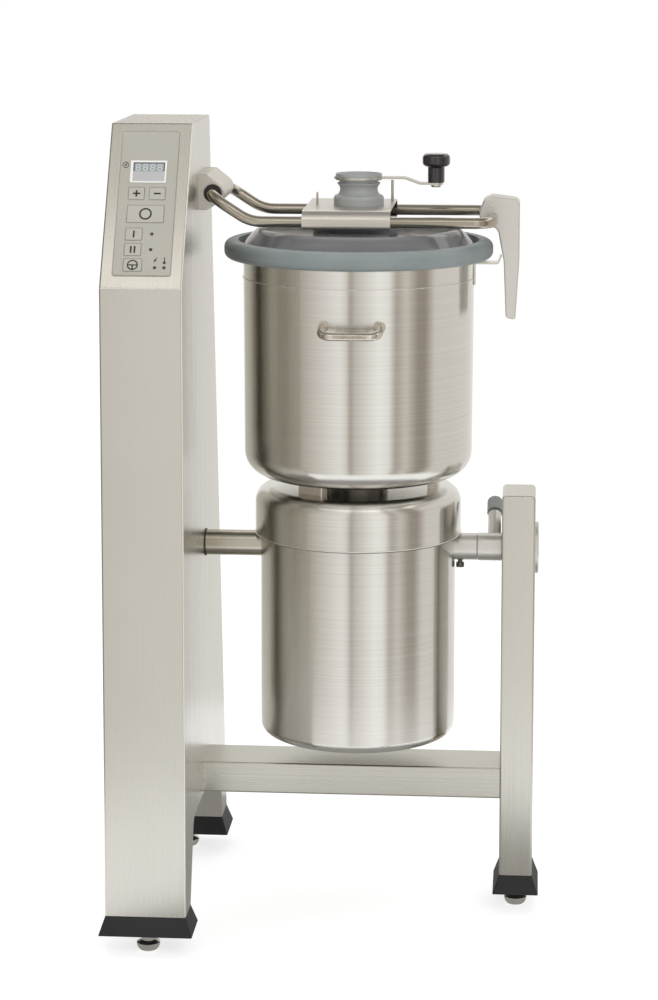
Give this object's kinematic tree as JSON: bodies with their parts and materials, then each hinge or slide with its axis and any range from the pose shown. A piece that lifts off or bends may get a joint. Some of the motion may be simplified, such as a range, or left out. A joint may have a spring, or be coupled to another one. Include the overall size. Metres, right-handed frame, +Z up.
{
  "type": "cutter mixer",
  "caption": "Floor-standing tilting cutter mixer: steel column, beam and leg carry a pivoting motor with a deep bowl under a hinged lid with hand-cranked wiper and latch lever",
  "frame": {"origin": "on the floor, at the middle of the footprint of the foot caps", "axes": "+Z up, the front with the control panel faces -Y, the column stands at -X and the single leg at +X"},
  "size_m": [0.7404, 0.64, 1.4],
  "materials": {
    "frame_steel": "brushed stainless sheet",
    "motor_steel": "horizontally brushed stainless",
    "bowl_steel": "horizontally brushed stainless",
    "tube_steel": "satin stainless tube",
    "plate_steel": "satin stainless plate",
    "cast_steel": "bead-blasted casting",
    "bright_steel": "polished fasteners and pins",
    "dark_screw": "blackened screw",
    "shaft_steel": "ground steel",
    "blade_steel": "ground blade steel",
    "motor_iron": "laminations and castings",
    "cast_alloy": "turned alloy plates",
    "foot_black": "black moulded feet",
    "bush_black": "black bearing plastic",
    "ring_grey": "soft blue-grey lid ring",
    "pad_grey": "grey gasket",
    "lid_clear": "clear smoky plastic",
    "funnel_grey": "moulded grey plastic",
    "wiper_rubber": "soft wiping strip",
    "knob_black": "near-black moulded knob",
    "grip_grey": "grey moulded grip",
    "panel_film": "grey printed overlay",
    "screen_glass": "pale display",
    "lamp_red": "unlit lamps",
    "electronics_alloy": "finned case"
  },
  "bodies": {
    "frame": {"column_shell": "frame_steel", "column_rear_cover": "frame_steel", "rear_cover_screws": "bright_steel", "cable_gland": "bush_black", "control_panel": "panel_film", "display_module": "screen_glass", "indicator_lamps": "lamp_red", "drive_electronics": "electronics_alloy", "cross_beam": "frame_steel", "right_leg": "frame_steel", "foot_caps": "foot_black", "levelling_glides": "bright_steel", "pivot_bush_left": "bush_black", "pivot_axle": "bright_steel", "hinge_block": "cast_steel", "hinge_bushes": "bush_black"},
    "motor_and_bowl": {"motor_housing": "motor_steel", "motor_bottom_cover": "cast_alloy", "motor_upper_plate": "cast_alloy", "motor_bearings": "shaft_steel", "motor_stator": "motor_iron", "motor_cap": "motor_steel", "pivot_tube_left": "tube_steel", "pivot_hub_right": "cast_steel", "hub_screw": "dark_screw", "bowl_supports": "bowl_steel", "bowl": "bowl_steel", "shaft_seal": "pad_grey", "bowl_handles": "bowl_steel", "latch_catch": "bowl_steel"},
    "spindle": {"drive_shaft": "shaft_steel", "motor_rotor": "motor_iron", "blade_hub": "shaft_steel", "cutting_blades": "blade_steel", "blade_nut": "shaft_steel"},
    "lid_arm": {"arm_tube_front": "tube_steel", "arm_tube_rear": "tube_steel", "arm_bracket": "plate_steel", "bracket_pins": "bright_steel", "lid_pad": "pad_grey", "lid_dome": "lid_clear", "lid_ring": "ring_grey", "feed_funnel": "funnel_grey"},
    "lid_wiper": {"wiper_tube": "funnel_grey", "crank_arm": "plate_steel", "knob_screw": "bright_steel", "wiper_arm": "funnel_grey", "wiper_blade": "wiper_rubber"},
    "crank_grip": {"crank_knob": "knob_black"},
    "latch": {"latch_lever": "cast_steel", "latch_pin": "bright_steel"},
    "tilt_lock": {"lock_lever": "cast_steel", "lock_grip": "grip_grey"},
    "key_plus": {"key_plus": "panel_film"},
    "key_minus": {"key_minus": "panel_film"},
    "key_stop": {"key_stop": "panel_film"},
    "key_speed_1": {"key_speed_1": "panel_film"},
    "key_speed_2": {"key_speed_2": "panel_film"},
    "key_pulse": {"key_pulse": "panel_film"}
  },
  "joints": [
    {"name": "bowl_tilt", "type": "hinge", "parent": "frame", "child": "motor_and_bowl", "pos_m": [0.04775, 0, 0.649], "axis": [1, 0, 0], "range_deg": [0, 90]},
    {"name": "lid_opening", "type": "hinge", "parent": "frame", "child": "lid_arm", "pos_m": [-0.19825, 0, 1.275], "axis": [0, -1, 0], "range_deg": [0, 65]},
    {"name": "spindle_turn", "type": "hinge", "parent": "motor_and_bowl", "child": "spindle", "pos_m": [0.04775, 0, 0.8], "axis": [0, 0, 1], "continuous": true},
    {"name": "wiper_turn", "type": "hinge", "parent": "lid_arm", "child": "lid_wiper", "pos_m": [0.04775, 0, 1.29], "axis": [0, 0, 1], "continuous": true},
    {"name": "knob_turn", "type": "hinge", "parent": "lid_wiper", "child": "crank_grip", "pos_m": [0.18175, 0, 1.31], "axis": [0, 0, 1], "continuous": true},
    {"name": "latch_swing", "type": "hinge", "parent": "lid_arm", "child": "latch", "pos_m": [0.27975, 0, 1.231], "axis": [0, -1, 0], "range_deg": [0, 100]},
    {"name": "tilt_lock_swing", "type": "hinge", "parent": "frame", "child": "tilt_lock", "pos_m": [0.28725, 0, 0.649], "axis": [1, 0, 0], "range_deg": [0, 60]},
    {"name": "press_plus", "type": "slide", "parent": "frame", "child": "key_plus", "axis": [0, 0.8569, -0.5155], "range_m": [0, 0.0005], "stiffness_N_per_m": 1500},
    {"name": "press_minus", "type": "slide", "parent": "frame", "child": "key_minus", "axis": [0, 0.8569, -0.5155], "range_m": [0, 0.0005], "stiffness_N_per_m": 1500},
    {"name": "press_stop", "type": "slide", "parent": "frame", "child": "key_stop", "axis": [0, 0.8569, -0.5155], "range_m": [0, 0.0005], "stiffness_N_per_m": 1500},
    {"name": "press_speed_1", "type": "slide", "parent": "frame", "child": "key_speed_1", "axis": [0, 0.8569, -0.5155], "range_m": [0, 0.0005], "stiffness_N_per_m": 1500},
    {"name": "press_speed_2", "type": "slide", "parent": "frame", "child": "key_speed_2", "axis": [0, 0.8569, -0.5155], "range_m": [0, 0.0005], "stiffness_N_per_m": 1500},
    {"name": "press_pulse", "type": "slide", "parent": "frame", "child": "key_pulse", "axis": [0, 0.8569, -0.5155], "range_m": [0, 0.0005], "stiffness_N_per_m": 1500}
  ],
  "couplings": [
    {"joint": "lid_opening", "follows": "bowl_tilt", "ratio": 0.72222}
  ]
}
